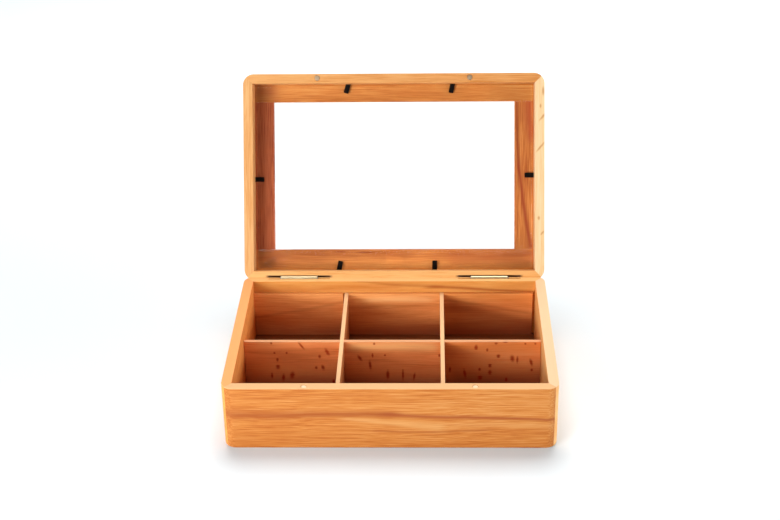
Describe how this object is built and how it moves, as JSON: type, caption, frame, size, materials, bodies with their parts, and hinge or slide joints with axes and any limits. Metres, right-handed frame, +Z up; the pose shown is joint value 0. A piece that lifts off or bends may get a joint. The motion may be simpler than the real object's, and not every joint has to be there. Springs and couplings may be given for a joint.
{
  "type": "tea bag organizer box",
  "caption": "Wooden tea bag box with a divided base and a glass-windowed lid that leans back open on slot hinges, shown open.",
  "frame": {"origin": "centre of the base's underside, on the table that the box stands on", "axes": "+X to the right along the front, +Y from the front to the hinged back, +Z up; the lid is stored open, leaning back on its stop"},
  "size_m": [0.29, 0.3042, 0.2401],
  "materials": {
    "wall_wood": "oiled beech, satin",
    "divider_wood": "oiled beech, satin",
    "panel_wood": "plain plywood",
    "window_glass": "clear polished glass",
    "black_steel": "satin black",
    "brass_plate": "bright rolled sheet",
    "pin_steel": "drawn wire",
    "magnet_nickel": "nickel plated"
  },
  "bodies": {
    "base": {"base_front_wall": "wall_wood", "base_back_wall": "wall_wood", "base_left_wall": "wall_wood", "base_right_wall": "wall_wood", "bottom_panel": "panel_wood", "front_liner": "divider_wood", "back_liner": "divider_wood", "long_divider": "divider_wood", "left_cross_divider": "divider_wood", "right_cross_divider": "divider_wood", "base_magnets": "magnet_nickel", "hinge_left_base_leaf": "brass_plate", "hinge_right_base_leaf": "brass_plate", "hinge_left_pin": "pin_steel", "hinge_right_pin": "pin_steel"},
    "lid": {"lid_front_wall": "wall_wood", "lid_back_wall": "wall_wood", "lid_left_wall": "wall_wood", "lid_right_wall": "wall_wood", "lid_front_board": "wall_wood", "lid_back_board": "wall_wood", "lid_left_stile": "wall_wood", "lid_right_stile": "wall_wood", "glass_pane": "window_glass", "glass_points": "black_steel", "lid_magnets": "magnet_nickel", "hinge_left_lid_leaf": "brass_plate", "hinge_right_lid_leaf": "brass_plate"}
  },
  "joints": [
    {"name": "lid_hinge", "type": "hinge", "parent": "base", "child": "lid", "pos_m": [0, 0.097, 0.0621], "axis": [1, 0, 0], "range_deg": [0, 115]}
  ]
}
